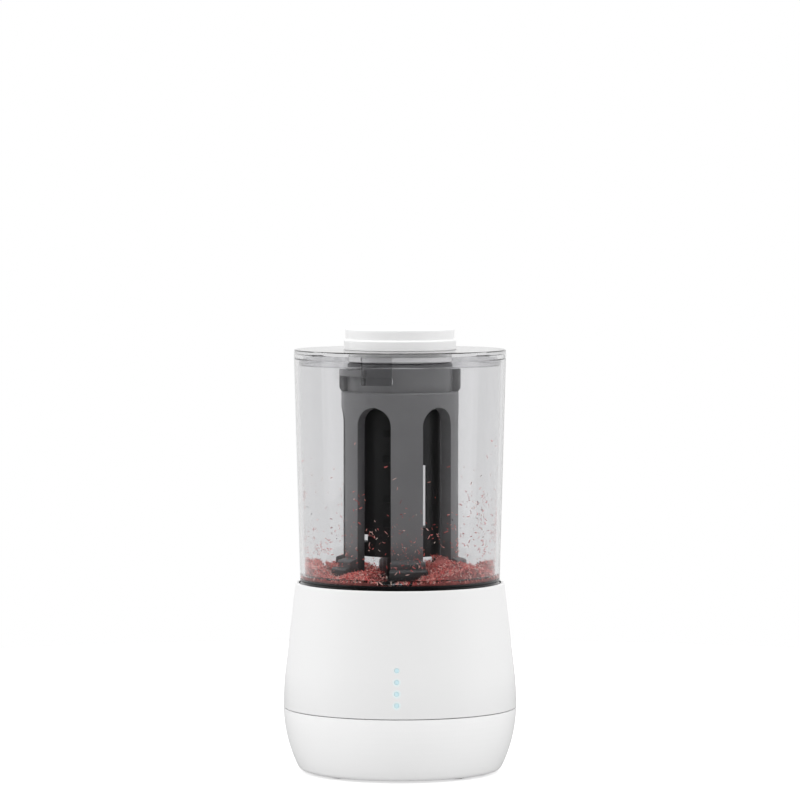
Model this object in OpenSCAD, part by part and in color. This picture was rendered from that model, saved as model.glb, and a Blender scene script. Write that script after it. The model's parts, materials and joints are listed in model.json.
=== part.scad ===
// Electric pencil sharpener: a white motor base, a clear shavings bin round a slotted
// cage, and a turning cutter head inside the cage. Millimetres, +Z up. The origin is on
// the table under the middle of the base, and the indicator lights face -Y.

/* [Base] */
// Widest diameter of the base
base_d = 94.3; // [92:0.1:97]
// Height of the base at its rim
base_h = 76.6; // [76.2:0.1:77]
// Height of the widest point
belly_h = 27; // [24:0.5:30]
// Height of the seam between the two shells
seam_h = 26.2; // [25:0.1:27]
// Lean of the upper wall from the vertical, in degrees
wall_lean = 6.8; // [6.4:0.1:7]
// Radius of the curve below the belly
lower_curve = 56; // [54:1:70]
// Radius of the curve above the belly
upper_curve = 130; // [110:5:150]
// Wall thickness of the shells
shell_t = 2.2; // [1.8:0.1:2.4]

/* [Shavings bin] */
// Outer diameter of the bin at its foot
bin_foot_d = 80.8; // [80.4:0.1:81]
// Outer diameter of the bin at its lid
bin_top_d = 85.6; // [84:0.1:88]
// Wall thickness of the bin
bin_t = 1.8; // [1.4:0.1:2]
// Height of the lid's upper face above the table
lid_h = 170.8; // [170.5:0.1:171.2]
// Height of the lid's edge
lid_edge = 3.6; // [3:0.1:4]

/* [Pencil port] */
// Diameter of the lower step of the port ring
port_d = 45.4; // [44.4:0.2:47]
// Height of the port ring's top above the table
port_h = 179.6; // [179:0.1:181]
// Diameter of the pencil hole
pencil_hole_d = 8.8; // [8.2:0.1:9]

/* [Cage] */
// Outer diameter of the cage
cage_d = 47.4; // [46.8:0.1:48]
// Width of a slot
slot_w = 14.8; // [12:0.2:15]
// Height of the slots' round tops
slot_top = 148.1; // [146:0.1:148.4]
// Angle of the pillar nearest the front
pillar_angle = 8.5; // [0:0.5:20]
// Outer diameter of the collar
collar_d = 42.4; // [42:0.1:43]
// Height of the collar's top
collar_h = 165.5; // [165:0.1:165.6]

/* [Cutter] */
// Diameter of the helical cutter
cutter_d = 10; // [9:0.1:10.4]
// Slant of the cutter's axle, half of the point's angle
cutter_slant = 9.2; // [8.8:0.1:9.6]
// Number of cutting edges
edge_count = 10; // [8:1:14]

/* [Lights] */
// Number of battery lights
light_count = 4; // [3:1:4]
// Distance between lights
light_pitch = 4.6; // [4:0.1:5]
// Height of the lowest light
light_h = 31.8; // [30:0.1:33]

/* [Hidden] */
$fn = 96;
gap = 0.05;          // clearance between fixed pieces
big = 200;           // longer than any piece, for cuts

white = "#f4f4f2";
grey = "#6a6b6d";
black = "#1b1b1d";
steel = "#b9bcc0";
brass = "#c9a24b";

// Heights of the main levels
foot_t = 0.8;                    // how far the rubber feet stand out
floor_top = foot_t + shell_t;
deck_top = base_h - 1.4;
deck_t = 3;
deck_under = deck_top - deck_t;
bin_floor_low = deck_top + 1.6;
bin_floor_t = 1.7;
bin_floor_top = bin_floor_low + bin_floor_t;
lid_low = lid_h - lid_edge;
lid_t = 1.8;
ledge_h = 154;                   // ledge between the cage and its collar
bore_h = 149.5;                  // shoulder that the ring gear rests on
belly_r = base_d / 2;
cage_r = cage_d / 2;
cage_in = cage_r - 5.5;
slot_angles = [34, 93, 151.5, -151.5, -93, -34];        // from the wide front pillar's middle
pillar_angles = [0, 63.5, 122.2, 180, -122.2, -63.5];
foot_top = 87.4;                 // where the pillars start to spread into their feet
collar_r = collar_d / 2;
bore_r = collar_r - 1.8;

// Gear train: motor pinion to idler to output, then the cutter pinion in its ring
low_module = 0.7;
high_module = 0.9;
head_module = 1;
motor_teeth = 12;
idler_teeth = 42;
idler_pinion_teeth = 12;
output_teeth = 36;
cutter_teeth = 10;
ring_teeth = 31;
idler_x = high_module * (output_teeth + idler_pinion_teeth) / 2;
motor_arm = low_module * (idler_teeth + motor_teeth) / 2;
motor_angle = 110;               // direction from the idler to the motor
motor_at = [idler_x + motor_arm * cos(motor_angle), motor_arm * sin(motor_angle), 0];
pinion_at = [0, head_module * (ring_teeth - cutter_teeth) / 2, 152.1];
pressure_angle = 20;

// Levels inside the base
plate_low = 56.5;
plate_t = 2;
plate_top = plate_low + plate_t;
low_gear_z = 59.4;
low_gear_t = 4;
high_gear_z = 64.6;
high_gear_t = 4.1;
shaft_r = 4;
bearing_r = 8;
bearing_t = 5;
bearing_z = deck_top - bearing_t - 0.1;
drum_low = 88;
drum_top = 147;
drum_r = cage_in - 1;
pin_z = 83.5;
neck_r = 13.6;
neck_top = 157.9;
head_low = 158;
head_r = 17;
head_plate_t = 2.2;
cap_low = 169.6;
cap_t = 2;

case_screw_r = 34.5;
case_screw_angle = 26;           // from the X axis, on both sides
deck_screw_r = 35.5;
foot_at_r = 31;
foot_r = 5;
plate_posts = [[-15, 26], [-15, -26], [13, -28], [30.6, 17]];

// Outer radius of the base at height z
function base_r(z) =
  let (bend = belly_h + upper_curve * sin(wall_lean),
       bend_r = belly_r - upper_curve * (1 - cos(wall_lean)))
  z < belly_h ? belly_r - lower_curve + sqrt(pow(lower_curve, 2) - pow(belly_h - z, 2)) :
  z < bend ? belly_r - upper_curve + sqrt(pow(upper_curve, 2) - pow(z - belly_h, 2)) :
  bend_r - (z - bend) * tan(wall_lean);

// Points of an arc in the plane, from angle a to angle b
function arc(centre, r, a, b, n = 8) =
  [for (i = [0:n]) centre + r * [cos(a + (b - a) * i / n), sin(a + (b - a) * i / n)]];

function polar(r, a) = r * [cos(a), sin(a)];

// Involute teeth: half the angle that a tooth spans at radius r
function involute(a) = tan(a) * 180 / PI - a;
function half_tooth(r, pitch_r, teeth, play) =
  90 / teeth - play / pitch_r * 90 / PI + involute(pressure_angle)
  - involute(acos(min(1, pitch_r * cos(pressure_angle) / r)));

// Turns the children to every one of n places round Z, starting at angle a
module around(n, a = 0) {
  for (i = [0:n - 1]) rotate(a + i * 360 / n) children();
}

// Places the children at the four screws that close the case
module at_case_screws() {
  for (a = [0, 180], side = [-1, 1]) rotate(a + side * case_screw_angle)
    translate([case_screw_r, 0, 0]) children();
}

// Copies the children to each of the plate's posts
module at_posts() {
  for (p = plate_posts) translate([p[0], p[1], 0]) children();
}

module ring(r_out, r_in, low, high) {
  translate([0, 0, low]) difference() {
    cylinder(r = r_out, h = high - low);
    translate([0, 0, -1]) cylinder(r = r_in, h = high - low + 2);
  }
}

module disc(r, low, high) {
  translate([0, 0, low]) cylinder(r = r, h = high - low);
}

// A wedge of the whole height between two angles, for cutting rings into arcs
module sector(a, b, r = big) {
  linear_extrude(big) polygon(concat([[0, 0]], arc([0, 0], r, a, b, 6)));
}

module gear_outline(teeth, m, addendum = 0.9, dedendum = 1.15, play = 0.12, turn = 0) {
  pitch_r = teeth * m / 2;
  base_circle = pitch_r * cos(pressure_angle);
  root = pitch_r - dedendum * m;
  radii = [root, max(root, base_circle) + 0.01, pitch_r, pitch_r + addendum * m];
  polygon([for (i = [0:teeth - 1]) each concat(
    [for (k = [0:3]) polar(radii[k],
      turn + i * 360 / teeth - half_tooth(radii[k], pitch_r, teeth, play))],
    [for (k = [3:-1:0]) polar(radii[k],
      turn + i * 360 / teeth + half_tooth(radii[k], pitch_r, teeth, play))])]);
}

// A pan-head screw that stands head down on z = 0 and points up
module screw(head_r, head_t, shank_r, length) {
  difference() {
    cylinder(r = head_r, h = head_t);
    for (a = [0, 90]) rotate(a)
      translate([-head_r * 0.6, -0.3, -1]) cube([head_r * 1.2, 0.6, 1.5]);
  }
  translate([0, 0, head_t]) cylinder(r = shank_r, h = length);
}

// A round tube swept along points, as one closed polyhedron
module tube(path, r, sides = 8) {
  last = len(path) - 1;
  function heading(i) =
    let (d = path[min(i + 1, last)] - path[max(i - 1, 0)]) d / norm(d);
  function side(d) =
    let (s = cross(d, abs(d[2]) < 0.9 ? [0, 0, 1] : [1, 0, 0])) s / norm(s);
  rings = [for (i = [0:last]) let (d = heading(i), s = side(d), u = cross(s, d))
    each [for (k = [0:sides - 1]) path[i] + r * (s * cos(k * 360 / sides) + u * sin(k * 360 / sides))]];
  walls = [for (i = [0:last - 1], k = [0:sides - 1])
    [i * sides + k, i * sides + (k + 1) % sides,
     (i + 1) * sides + (k + 1) % sides, (i + 1) * sides + k]];
  polyhedron(rings, concat(walls,
    [[for (k = [sides - 1:-1:0]) k]], [[for (k = [0:sides - 1]) last * sides + k]]));
}

// A smooth run through four control points
function bezier(p, n = 10) = [for (i = [0:n]) let (t = i / n, s = 1 - t)
  s * s * s * p[0] + 3 * s * s * t * p[1] + 3 * s * t * t * p[2] + t * t * t * p[3]];

// Shell outlines, half sections to be spun round Z

module lower_outline(inset = 0) {
  edge = 3;                                  // rounding of the bottom edge
  lean = 25;
  join_z = foot_t + edge * (1 - sin(lean));
  centre = [base_r(join_z) - edge * cos(lean), foot_t + edge];
  steps = 10;
  polygon(concat([[0, foot_t]],
    arc(centre, edge, -90, -lean, 5),
    [for (i = [1:steps]) let (z = join_z + (seam_h - 0.15 - join_z) * i / steps) [base_r(z), z]],
    [for (i = [steps:-1:0]) let (z = floor_top + 3 + (seam_h - 0.15 - floor_top - 3) * i / steps)
      [base_r(z) - shell_t, z]],
    arc([base_r(floor_top + 3) - shell_t - 3, floor_top + 3], 3, 0, -90, 4),
    [[0, floor_top]]));
}

module upper_outline() {
  low = seam_h + 0.15;
  edge = 0.6;                                // rounding of the rim
  seat_r = bin_foot_d / 2 + 0.5;             // bore that the bin's foot drops into
  steps = 14;
  polygon(concat(
    [for (i = [0:steps]) let (z = low + (base_h - edge - low) * i / steps) [base_r(z), z]],
    arc([base_r(base_h - edge) - edge, base_h - edge], edge, 20, 90, 4),
    [[seat_r, base_h], [seat_r, deck_under], [seat_r - 2.6, deck_under],
     [seat_r - 2.6, deck_under - 2], [base_r(deck_under - 5) - shell_t, deck_under - 5]],
    [for (i = [steps - 2:-1:0]) let (z = low + (deck_under - 5 - low) * i / (steps - 2 + 1))
      [base_r(z) - shell_t, z]]));
}

module charge_port_hole(grow = 0) {
  w = 9 + 2 * grow;
  h = 3.3 + 2 * grow;
  translate([0, 0, 14]) rotate([-90, 0, 0]) linear_extrude(60)
    hull() for (x = [-1, 1]) translate([x * (w - h) / 2, 0]) circle(d = h, $fn = 32);
}

module lower_shell() color(white) {
  difference() {
    union() {
      rotate_extrude() lower_outline();
      // lip that locates the upper shell
      ring(base_r(seam_h) - shell_t + 0.6, base_r(seam_h) - shell_t - 0.8, seam_h - 3, seam_h - 0.15);
      ring(base_r(seam_h) - shell_t - 0.2, base_r(seam_h) - shell_t - 1.2, seam_h - 3, seam_h + 2);
      at_case_screws() disc(3.3, floor_top - 0.5, seam_h - 0.2);
      for (x = [-6, 6], y = [31, 38]) translate([x, y, floor_top - 0.5])
        cylinder(r = 1.6, h = 8.6);
    }
    at_case_screws() {
      disc(1.35, 0, big);
      disc(2.8, 0, 8);
    }
    around(4, 45) translate([foot_at_r, 0, foot_t - 1]) cylinder(r = foot_r + 0.1, h = 2.2);
    charge_port_hole(0.35);
  }
}

module upper_shell() color(white) {
  boss_low = seam_h + 0.3;
  difference() {
    union() {
      rotate_extrude() upper_outline();
      // bosses that take the case screws
      at_case_screws() {
        disc(3.3, boss_low, boss_low + 16);
        translate([0, -0.8, boss_low + 3]) cube([10.6, 1.6, 12]);
      }
      // bosses that take the deck screws
      around(4) {
        translate([deck_screw_r, 0, deck_under - 6.7]) cylinder(r = 3, h = 6.7);
        translate([deck_screw_r, -0.9, deck_under - 5.5]) cube([6, 1.8, 5.5]);
      }
      // posts that hold the main board
      for (x = [-10, 10]) translate([x, -36.2, 51])
        rotate([90, 0, 0]) cylinder(r = 1.9, h = 7.4);
    }
    at_case_screws() disc(1.1, boss_low - 1, boss_low + 11);
    around(4) translate([deck_screw_r, 0, deck_under - 6]) cylinder(r = 1.1, h = 8);
    for (x = [-10, 10]) translate([x, -36.1, 51])
      rotate([90, 0, 0]) cylinder(r = 0.8, h = 5);
    at_lights() cylinder(r = 0.95, h = 30);
  }
}

// Places the children at each light, with +Z pointing out of the front
module at_lights() {
  for (i = [0:light_count - 1]) translate([0, -32, light_h + i * light_pitch])
    rotate([90, 0, 0]) children();
}

module rubber_feet() color("#3a3a3c") around(4, 45) translate([foot_at_r, 0, 0]) {
  translate([0, 0, 0.5]) cylinder(r = foot_r, h = 1.4);
  cylinder(r1 = foot_r - 0.5, r2 = foot_r, h = 0.5);
}

module case_screws() color(steel) at_case_screws()
  translate([0, 0, 6]) screw(2.5, 2, 1.05, 29);

// Deck: the black floor of the bin's seat, with the bearing housing under it

module deck_plate() color(black) {
  difference() {
    union() {
      disc(bin_foot_d / 2 + 0.3, deck_under + gap, deck_top);
      disc(bearing_r + 3, bearing_z - 1, deck_top);
      translate([idler_x, 0, 0]) disc(3.5, deck_under - 1.2, deck_top);
      at_posts() disc(3, plate_top + gap, deck_top);
    }
    disc(bearing_r + gap, bearing_z, deck_top + 1);
    disc(bearing_r - 2, bearing_z - 2, deck_top + 1);
    translate([idler_x, 0, 0]) disc(1.55, deck_under - 2, deck_under + 1.4);
    at_posts() disc(1, plate_top - 1, plate_top + 9);
    around(4) translate([deck_screw_r, 0, 0]) {
      disc(1.4, deck_under - 1, deck_top + 1);
      disc(2.8, deck_top - 1.6, deck_top + 1);
    }
    at_feet() disc(1.4, deck_under - 1, deck_top + 1);
  }
}

module deck_screws() color(steel) around(4)
  translate([deck_screw_r, 0, deck_top]) rotate([180, 0, 0]) screw(2.6, 1.5, 1, 6);

// Places the children under each foot of the cage
module at_feet() {
  for (a = pillar_angles) rotate(a + pillar_angle - 90) translate([26.6, 0, 0]) children();
}

// Cage: slotted tube with stepped feet, a collar and two bayonet lugs

module cage_outline() {
  low = deck_top + gap;
  polygon([
    [cage_in, low], [30, low], [30, low + 1.8], [29.6, low + 2.2], [cage_r, low + 2.2],
    [cage_r, ledge_h - 0.5], [cage_r - 0.5, ledge_h], [collar_r, ledge_h],
    [collar_r, collar_h - 0.7], [collar_r - 0.7, collar_h], [bore_r, collar_h],
    [bore_r, bore_h], [cage_in, bore_h]]);
}

module slot_cut() {
  low = deck_top + 2.6;
  start = 14;
  rotate([90, 0, 0]) {
    translate([0, slot_top - slot_w / 2, start]) cylinder(d = slot_w, h = 26);
    translate([-slot_w / 2, low, start]) cube([slot_w, slot_top - slot_w / 2 - low, 26]);
  }
}

// The stepped foot of the pillar at angle a; the one at the front is wider
module foot(a) {
  half = a == 0 ? 15 : 10;
  low = deck_top + gap + 0.5;
  rotate(a + pillar_angle - 90) intersection() {
    rotate_extrude() polygon([
      [cage_r - 1, low], [29.8, low], [29.8, foot_top - 4.4], [29.1, foot_top - 3.7],
      [27.1, foot_top - 3.5], [27.1, foot_top - 1.4], [26.6, foot_top - 0.9],
      [cage_r - 0.2, foot_top], [cage_r - 1, foot_top]]);
    sector(-half, half);
  }
}

// One inverted L: a rib round the collar and a stop at its far end
module lug() {
  rib_low = 160.4;
  rib_high = 162.9;
  lug_r = 24.5;
  start = 180 - 4;
  stop = 180 + 53;
  intersection() {
    ring(lug_r, collar_r - 0.5, rib_low, rib_high);
    sector(start, stop);
  }
  intersection() {
    rotate_extrude() polygon([
      [collar_r - 0.5, ledge_h - 0.5], [lug_r - 1.2, ledge_h - 0.5],
      [lug_r, ledge_h + 1.4], [lug_r, rib_high], [collar_r - 0.5, rib_high]]);
    sector(start, start + 8);
  }
}

module cutter_cage() color(grey) {
  difference() {
    union() {
      rotate_extrude() cage_outline();
      for (a = pillar_angles) foot(a);
      around(2) lug();
    }
    for (a = slot_angles) rotate(a + pillar_angle) slot_cut();
    at_feet() disc(1.15, deck_top - 1, deck_top + 6);
  }
}

module cage_screws() color(steel) at_feet()
  translate([0, 0, deck_under - 1.6]) screw(2.4, 1.5, 1.1, 8);

module ring_gear() color("#d9d6cc") {
  low = bore_h + 0.1;
  translate([0, 0, low]) difference() {
    cylinder(r = bore_r - gap, h = 5);
    translate([0, 0, -1]) linear_extrude(7)
      gear_outline(ring_teeth, head_module, 1.5, 0.85, -0.42, 90);
  }
}

module upper_bush() color("#e9e6dc") ring(bore_r - gap, head_r + gap, 157.4, 161);

// Gearbox under the deck

module gear_plate() color("#8b8e92") {
  difference() {
    union() {
      disc(31, plate_low, plate_top);
      at_posts() disc(5, plate_low, plate_top);
    }
    disc(5.5, plate_low - 1, plate_top + 1);
    translate([idler_x, 0, 0]) disc(1.5, plate_low - 1, plate_top + 1);
    translate(motor_at) {
      disc(3.7, plate_low - 1, plate_top + 1);
      for (a = [20, 200]) rotate(a) translate([8, 0, 0]) disc(1.4, plate_low - 1, plate_top + 1);
    }
    at_posts() disc(1.4, plate_low - 1, plate_top + 1);
    translate([-17, 14, 0]) disc(5, plate_low - 1, plate_top + 1);
  }
}

module plate_screws() color(steel) {
  at_posts() translate([0, 0, plate_low - 1.5]) screw(2.5, 1.5, 0.95, 9);
  translate(motor_at) for (a = [20, 200]) rotate(a)
    translate([8, 0, plate_top + 1.2]) rotate([180, 0, 0]) screw(1.9, 1.2, 1.1, 2.6);
}

module idler_axle() color(steel) translate([idler_x, 0, 0])
  disc(1.5, plate_low, deck_under + 1.2);

module lower_bush() color(brass) {
  ring(5.5, shaft_r + gap, plate_low, plate_top + 0.3);
  ring(6.8, shaft_r + gap, plate_low - 1.2, plate_low);
}

module bearing_outer_race() color(steel) translate([0, 0, bearing_z]) difference() {
  ring(bearing_r, 6.9, 0, bearing_t);
  ball_groove();
}

module bearing_inner_race() color(steel) translate([0, 0, bearing_z]) difference() {
  ring(5.1, shaft_r, 0, bearing_t);
  ball_groove();
}

module ball_groove() {
  translate([0, 0, bearing_t / 2]) rotate_extrude() translate([6, 0]) circle(r = 1.35);
}

module bearing_balls() color("#d4d7da") around(8, 11)
  translate([6, 0, bearing_z + bearing_t / 2]) sphere(r = 1.25);

module idler_gear() color("#ece8dc") translate([idler_x, 0, 0]) difference() {
  union() {
    translate([0, 0, low_gear_z]) linear_extrude(low_gear_t)
      gear_outline(idler_teeth, low_module, turn = motor_angle);
    translate([0, 0, low_gear_z + low_gear_t - 0.01]) linear_extrude(7)
      gear_outline(idler_pinion_teeth, high_module, turn = 180);
  }
  disc(1.56, plate_low, deck_top);
}

module output_gear() color("#ece8dc") translate([0, 0, high_gear_z]) difference() {
  linear_extrude(high_gear_t)
    gear_outline(output_teeth, high_module, turn = 180 / output_teeth);
  translate([0, 0, -1]) cylinder(r = shaft_r, h = high_gear_t + 2);
  for (a = [0:60:300]) rotate(a) translate([9.8, 0, -1]) cylinder(r = 2.6, h = high_gear_t + 2);
}

module motor_pinion() color(brass) translate(motor_at) difference() {
  translate([0, 0, low_gear_z - 0.3]) linear_extrude(low_gear_t + 0.6)
    gear_outline(motor_teeth, low_module, turn = motor_angle + 180 + 180 / motor_teeth);
  disc(1, low_gear_z - 1, low_gear_z + low_gear_t + 1);
}

// Motor

motor_r = 12.2;
motor_low = 27.6;
terminal_x = 8.5;

module motor_can() color("#9a9da1") translate(motor_at) difference() {
  union() {
    disc(motor_r, motor_low, plate_low - 0.1);
    disc(3.5, plate_low - 1, plate_top - 0.2);
  }
  disc(motor_r - 0.8, motor_low - 1, plate_low - 1.1);
  disc(1.2, motor_low - 1, plate_top + 1);
  for (a = [20, 200]) rotate(a) translate([8, 0, 0]) disc(1.15, plate_low - 2, plate_low);
}

module motor_magnets() color("#4b4a4a") translate(motor_at) difference() {
  ring(motor_r - 0.9, 9.2, motor_low + 3, plate_low - 4);
  for (a = [0, 180]) rotate(a) translate([-motor_r, 0, 0]) sector(-30, 30);
}

module motor_endcap() color(black) translate(motor_at) difference() {
  union() {
    disc(motor_r, motor_low - 2.2, motor_low - gap);
    disc(motor_r - 0.9, motor_low - 1, motor_low + 1.5);
    disc(3.4, motor_low - 3.6, motor_low);
  }
  disc(1.1, motor_low - 2.8, motor_low + 2);
}

module motor_terminals() color(brass) translate(motor_at)
  for (s = [-1, 1]) translate([s * terminal_x - 1, -0.3, motor_low - 5.2]) cube([2, 0.6, 3]);

module motor_armature() color("#a0683c") translate(motor_at) {
  disc(1, motor_low - 2.6, low_gear_z + low_gear_t + 0.6);
  difference() {
    disc(8.6, motor_low + 6, plate_low - 6);
    around(3) translate([2.4, -0.8, 0]) cube([8, 1.6, big]);
  }
  disc(3, motor_low + 2.4, motor_low + 6);
}

// Battery and electronics

cell_r = 9.2;
cell_l = 65;
cell_z = floor_top + 1.4 + cell_r;

module battery_cell() color("#3a6ea5") translate([-cell_l / 2, 0, cell_z]) rotate([0, 90, 0]) {
  cylinder(r = cell_r, h = cell_l - 1.5);
  translate([0, 0, cell_l - 1.5]) cylinder(r = 3.6, h = 1.5);
}

module battery_cradle() color(black) {
  difference() {
    union() {
      translate([-36, -11, floor_top + gap]) cube([72, 22, 1.6]);
      for (x = [-20, 20]) translate([x - 2, -11, floor_top + gap]) cube([4, 22, 9]);
      for (x = [-36, 34.4]) translate([x, -9, floor_top + gap]) cube([1.6, 18, 18]);
    }
    translate([-cell_l / 2 - 0.6, 0, cell_z]) rotate([0, 90, 0]) cylinder(r = cell_r + 0.15, h = cell_l + 1.2);
  }
}

module battery_contacts() color("#d8d4c4") for (a = [0, 180]) rotate(a) {
  translate([33.5, -3, cell_z - 4]) cube([0.8, 6, 10]);
  translate([cell_l / 2 + gap, 0, cell_z]) rotate([0, 90, 0]) cylinder(r = 2, h = 1);
}

board_y = -34.5;
board_t = 1.6;

module main_board() color("#1f5b3a") difference() {
  translate([-14, board_y - board_t, 28.6]) cube([28, board_t, 26.4]);
  for (x = [-10, 10]) translate([x, board_y + 1, 51]) rotate([90, 0, 0]) cylinder(r = 0.9, h = 4);
}

module board_parts() color("#242426") {
  back = board_y + gap;
  translate([-4, back, 38]) cube([7, 1.2, 7]);
  translate([-12, back, 31]) cube([6, 3.2, 6]);
  translate([6, back, 31]) cube([5.5, 5, 6.5]);
  translate([7.5, back, 40]) cube([3, 1, 5]);
  translate([-8.5, back, 47.5]) rotate([-90, 0, 0]) cylinder(r = 2.4, h = 7);
  for (x = [-10, 10]) translate([x, board_y + 1.7, 51]) rotate([90, 0, 0])
    screw(1.7, 1.2, 0.75, 5.2);
}

module status_lights() color("#f6f2c8") at_lights()
  translate([-0.8, -0.8, -board_y + board_t - 32 + gap]) cube([1.6, 1.6, 0.8]);

module light_guides() color("#dff3fb") for (i = [0:light_count - 1])
  let (z = light_h + i * light_pitch)
  translate([0, board_y - board_t - 1, z]) rotate([90, 0, 0]) {
    cylinder(r = 0.9, h = base_r(z) - 0.12 + board_y - board_t - 1);
    translate([0, 0, 0.01]) cylinder(r = 1.5, h = 1);
  }

module charge_board() color("#1f5b3a") difference() {
  translate([-8, 28, floor_top + 8.2]) cube([16, 13.8, 1.2]);
  for (x = [-6, 6], y = [31, 38]) translate([x, y, 0]) disc(0.8, 5, 20);
}

module charge_socket() color(steel) {
  z = 14;
  translate([0, 37, z]) rotate([-90, 0, 0]) difference() {
    linear_extrude(7.6) hull() for (x = [-2.85, 2.85]) translate([x, 0]) circle(d = 3.2, $fn = 32);
    translate([0, 0, 1]) linear_extrude(8)
      hull() for (x = [-2.85, 2.85]) translate([x, 0]) circle(d = 2.6, $fn = 32);
  }
  translate([-3.2, 38.2, z - 0.35]) cube([6.4, 5.2, 0.7]);
}

// Start switch: the pencil's tip pushes a rod down the hollow shaft onto a lever

lever_hinge = [-12, 0, 51.2];
lever_l = 13;
rod_travel = 2.5;
rod_r = 1.2;
rod_low = lever_hinge[2] + rod_travel + 0.7;
lever_pin_r = 0.5;
plunger_x = -6;
plunger_w = 1.6;

module start_switch() color(black) {
  low = 43.5;
  high = 49.9;
  difference() {
    translate([-13.5, -3, low]) cube([12.8, 6, high - low]);
    translate([plunger_x - 0.1, -plunger_w / 2 - 0.1, high - 2.7])
      cube([plunger_w + 0.2, plunger_w + 0.2, 3]);
  }
  // ears that hold the lever's pin
  for (side = [-1, 1]) difference() {
    translate([lever_hinge[0] - 1.2, side * 2.5 - 0.4, high - 0.1]) cube([2.4, 0.8, 2.4]);
    translate([lever_hinge[0], side * 2.5, lever_hinge[2]]) rotate([90, 0, 0])
      cylinder(r = lever_pin_r + gap, h = 2, center = true);
  }
}

module switch_plunger() color("#b8453c")
  translate([plunger_x, -plunger_w / 2, 48.8]) cube([plunger_w, plunger_w, 3.6]);

module switch_bracket() color(steel) difference() {
  union() {
    translate([-15.2, -4.5, 42.2]) cube([1.2, 9, plate_low - 42.2 - gap]);
    translate([-20, -4.5, plate_low - 1.2 - gap]) cube([6, 9, 1.2]);
    translate([-15.2, -4.5, 42.2]) cube([14, 9, 1.2]);
  }
  translate([-17.6, 0, 50]) cylinder(r = 1, h = 10);
}

module switch_lever() color(steel) translate(lever_hinge) rotate([0, -asin(rod_travel / lever_l), 0]) {
  translate([0, -1.7, 0.2]) cube([lever_l + 1, 3.4, 0.3]);
  rotate([90, 0, 0]) cylinder(r = lever_pin_r, h = 5.6, center = true);
}

module sensing_rod() color(steel) {
  tip = 116.6;
  disc(rod_r, rod_low, tip - 1.2);
  translate([0, 0, tip - 1.2]) cylinder(r1 = rod_r, r2 = rod_r / 2, h = 1.2);
}

// Leads, held between the motor, the boards and the cell

lead_r = 0.65;

module motor_leads() color("#b3261e") for (s = [-1, 1])
  let (x = motor_at[0] + s * terminal_x, y = motor_at[1])
  tube(bezier([[x, y - 1, 23.9], [x, y - 6, 22.5], [8 + s, -14, 28], [9 + s, -28.7, 34]]), lead_r);

module battery_leads() color("#26262a") for (s = [-1, 1])
  tube(bezier([[s * 33.6, 0, 20.3], [s * 36, -4, 38], [s * 14, -28, 24], [-9 + s, -30.4, 34]]),
    lead_r);

module charge_leads() color("#c9c9c9") for (s = [-1, 1])
  tube(bezier([[s * 2, 29, 13.2], [-16 + s, 16, 28], [-24 + s, -12, 32], [-11 + s, -33.8, 43]]),
    lead_r);

// Cutter head

// Moves to the cutter's slanting axle, with z = 0 in the middle of its pinion
module at_cutter() {
  translate(pinion_at) rotate([-cutter_slant, 0, 0]) children();
}

cutter_low = -35;
cutter_high = -3.5;

module cutter_carrier() color(black) {
  pencil_r = 4.3;
  pocket_r = cutter_d / 2 + 1.2;
  difference() {
    union() {
      disc(drum_r, drum_low, drum_top);
      disc(neck_r, drum_top - 1, neck_top);
      disc(5.5, 79.5, drum_low + 1);
    }
    // way for the pencil, narrowing round its point
    disc(pencil_r, 140, neck_top + 1);
    translate([0, 0, 116.5]) cylinder(r1 = 1.5, r2 = pencil_r, h = 23.6);
    disc(rod_r + 0.3, 90, 120);
    disc(shaft_r, 79, 96);
    // pocket for the cutter and its pinion, open to the side
    at_cutter() {
      translate([0, 0, cutter_low - 1]) cylinder(r = pocket_r, h = 40);
      translate([-pocket_r, 0, cutter_low - 1]) cube([2 * pocket_r, 20, 34]);
      translate([0, 0, -2.9]) cylinder(r = 6.6, h = 5.8);
      translate([-6.6, 0, -2.9]) cube([13.2, 20, 5.8]);
      translate([0, 0, cutter_low - 6]) cylinder(r = 1.55, h = 46.4);
    }
    // grooves that lighten the drum
    around(2, 90) for (z = [100, 110, 126, 136]) translate([drum_r - 1.2, -12, z]) cube([5, 24, 3]);
    // windows that let the shavings fall, sloping a little to the back
    rotate([-2.9, 0, 1.6]) {
      translate([6.8, -big / 2, 99]) cube([3.5, big, 25]);
      translate([-14.6, -big / 2, 93.1]) cube([1.7, big, 2.9]);
      translate([-14.6, -big / 2, 95.4]) cube([3.8, big, 0.7]);
    }
    translate([0, 0, pin_z]) rotate([0, 90, 0]) cylinder(r = 1, h = 40, center = true);
    at_head_screws() disc(0.9, neck_top - 6, neck_top + 1);
  }
}

// Places the children at the screws between the feed head and the carrier's neck
module at_head_screws() {
  for (a = [0, 180, 240, 300]) rotate(a) translate([11.6, 0, 0]) children();
}

module output_shaft() color(steel) difference() {
  ring(shaft_r - 0.02, rod_r + 0.06, plate_low - 1.5, 95.9);
  translate([0, 0, pin_z]) rotate([0, 90, 0]) cylinder(r = 1, h = 20, center = true);
}

// The pin is in two halves, because the sensing rod runs down between them
module drive_pin() color(steel) for (a = [0, 180]) rotate(a) translate([1.9, 0, pin_z])
  rotate([0, 90, 0]) cylinder(r = 0.98, h = 3.5);

module cutter_axle() color(steel) at_cutter()
  translate([0, 0, cutter_low - 5.8]) cylinder(r = 1.5, h = 45.6);

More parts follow.
